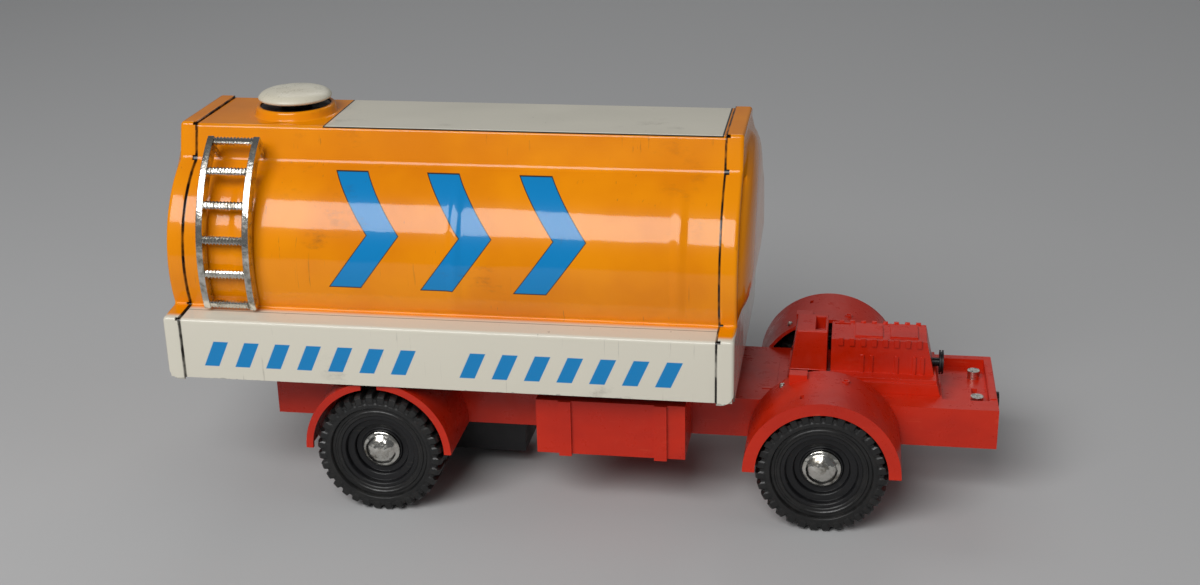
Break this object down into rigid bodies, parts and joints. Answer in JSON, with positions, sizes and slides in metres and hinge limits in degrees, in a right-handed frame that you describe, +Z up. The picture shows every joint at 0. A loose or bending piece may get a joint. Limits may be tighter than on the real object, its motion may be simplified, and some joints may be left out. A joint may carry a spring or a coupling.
{
  "type": "toy road tanker truck",
  "caption": "Toy tanker truck without its cab: tin tank with ladder and filler cap on a moulded chassis with fenders, engine, rolling wheels and a friction motor.",
  "frame": {"origin": "on the ground under the middle of the truck, midway between its ends and its sides", "axes": "+X to the front of the truck, +Y to its left side, +Z up"},
  "size_m": [0.2862, 0.103, 0.1362],
  "materials": {
    "orange_tin": "glossy lithographed tinplate, orange with a white roof panel and skirt",
    "cap_tin": "glossy printed tinplate, orange above and white at the skirt",
    "bare_tin": "bare rolled tinplate",
    "black_plastic": "black moulded plastic",
    "ivory_plastic": "ivory moulded plastic, slightly yellowed",
    "chromed_plastic": "vacuum-chromed plastic, worn",
    "steel": "turned steel",
    "red_plastic": "red-orange moulded plastic, satin",
    "black_rubber": "black soft plastic tyre",
    "white_nylon": "white moulded nylon",
    "zinc_weight": "die-cast zinc"
  },
  "bodies": {
    "truck": {"tank_shell": "orange_tin", "tank_front_cap": "cap_tin", "tank_rear_cap": "cap_tin", "tank_floor": "bare_tin", "filler_neck": "black_plastic", "ladder": "chromed_plastic", "tank_screws": "steel", "chassis_frame": "red_plastic", "saddle_posts": "red_plastic", "rear_fender_right": "red_plastic", "rear_fender_left": "red_plastic", "front_fender_right": "red_plastic", "front_fender_left": "red_plastic", "toolbox_right": "red_plastic", "toolbox_left": "red_plastic", "engine_block": "red_plastic", "gearbox_housing": "red_plastic", "fan_pulley": "black_plastic", "cab_studs": "steel", "bracket_rivets": "steel", "front_screw": "steel", "motor_plate_right": "bare_tin", "motor_plate_left": "bare_tin", "motor_spacers": "steel", "motor_cover": "black_plastic"},
    "rear_wheels": {"rear_axle": "steel", "axle_gear": "white_nylon", "tyre_rear_right": "black_rubber", "tyre_rear_left": "black_rubber", "wheel_rear_right": "black_plastic", "wheel_rear_left": "black_plastic", "hub_cap_rear_right": "chromed_plastic", "hub_cap_rear_left": "chromed_plastic"},
    "front_wheels": {"front_axle": "steel", "tyre_front_right": "black_rubber", "tyre_front_left": "black_rubber", "wheel_front_right": "black_plastic", "wheel_front_left": "black_plastic", "hub_cap_front_right": "chromed_plastic", "hub_cap_front_left": "chromed_plastic"},
    "idler": {"idler_shaft": "steel", "idler_gear": "white_nylon"},
    "flywheel_unit": {"flywheel_shaft": "steel", "flywheel": "zinc_weight"},
    "filler_lid": {"filler_cap": "ivory_plastic"}
  },
  "joints": [
    {"name": "rear_axle_spin", "type": "hinge", "parent": "truck", "child": "rear_wheels", "pos_m": [-0.0662, 0, 0.0219], "axis": [0, 1, 0], "continuous": true},
    {"name": "front_axle_spin", "type": "hinge", "parent": "truck", "child": "front_wheels", "pos_m": [0.0835, 0, 0.0219], "axis": [0, 1, 0], "continuous": true},
    {"name": "idler_spin", "type": "hinge", "parent": "truck", "child": "idler", "pos_m": [-0.05224, 0, 0.01994], "axis": [0, 1, 0], "continuous": true},
    {"name": "flywheel_spin", "type": "hinge", "parent": "truck", "child": "flywheel_unit", "pos_m": [-0.03845, 0, 0.02287], "axis": [0, 1, 0], "continuous": true},
    {"name": "filler_cap_lift", "type": "slide", "parent": "truck", "child": "filler_lid", "axis": [0, 0, 1], "range_m": [0, 0.01]}
  ],
  "couplings": [
    {"joint": "idler_spin", "follows": "rear_axle_spin", "ratio": -3},
    {"joint": "flywheel_spin", "follows": "rear_axle_spin", "ratio": 9}
  ]
}
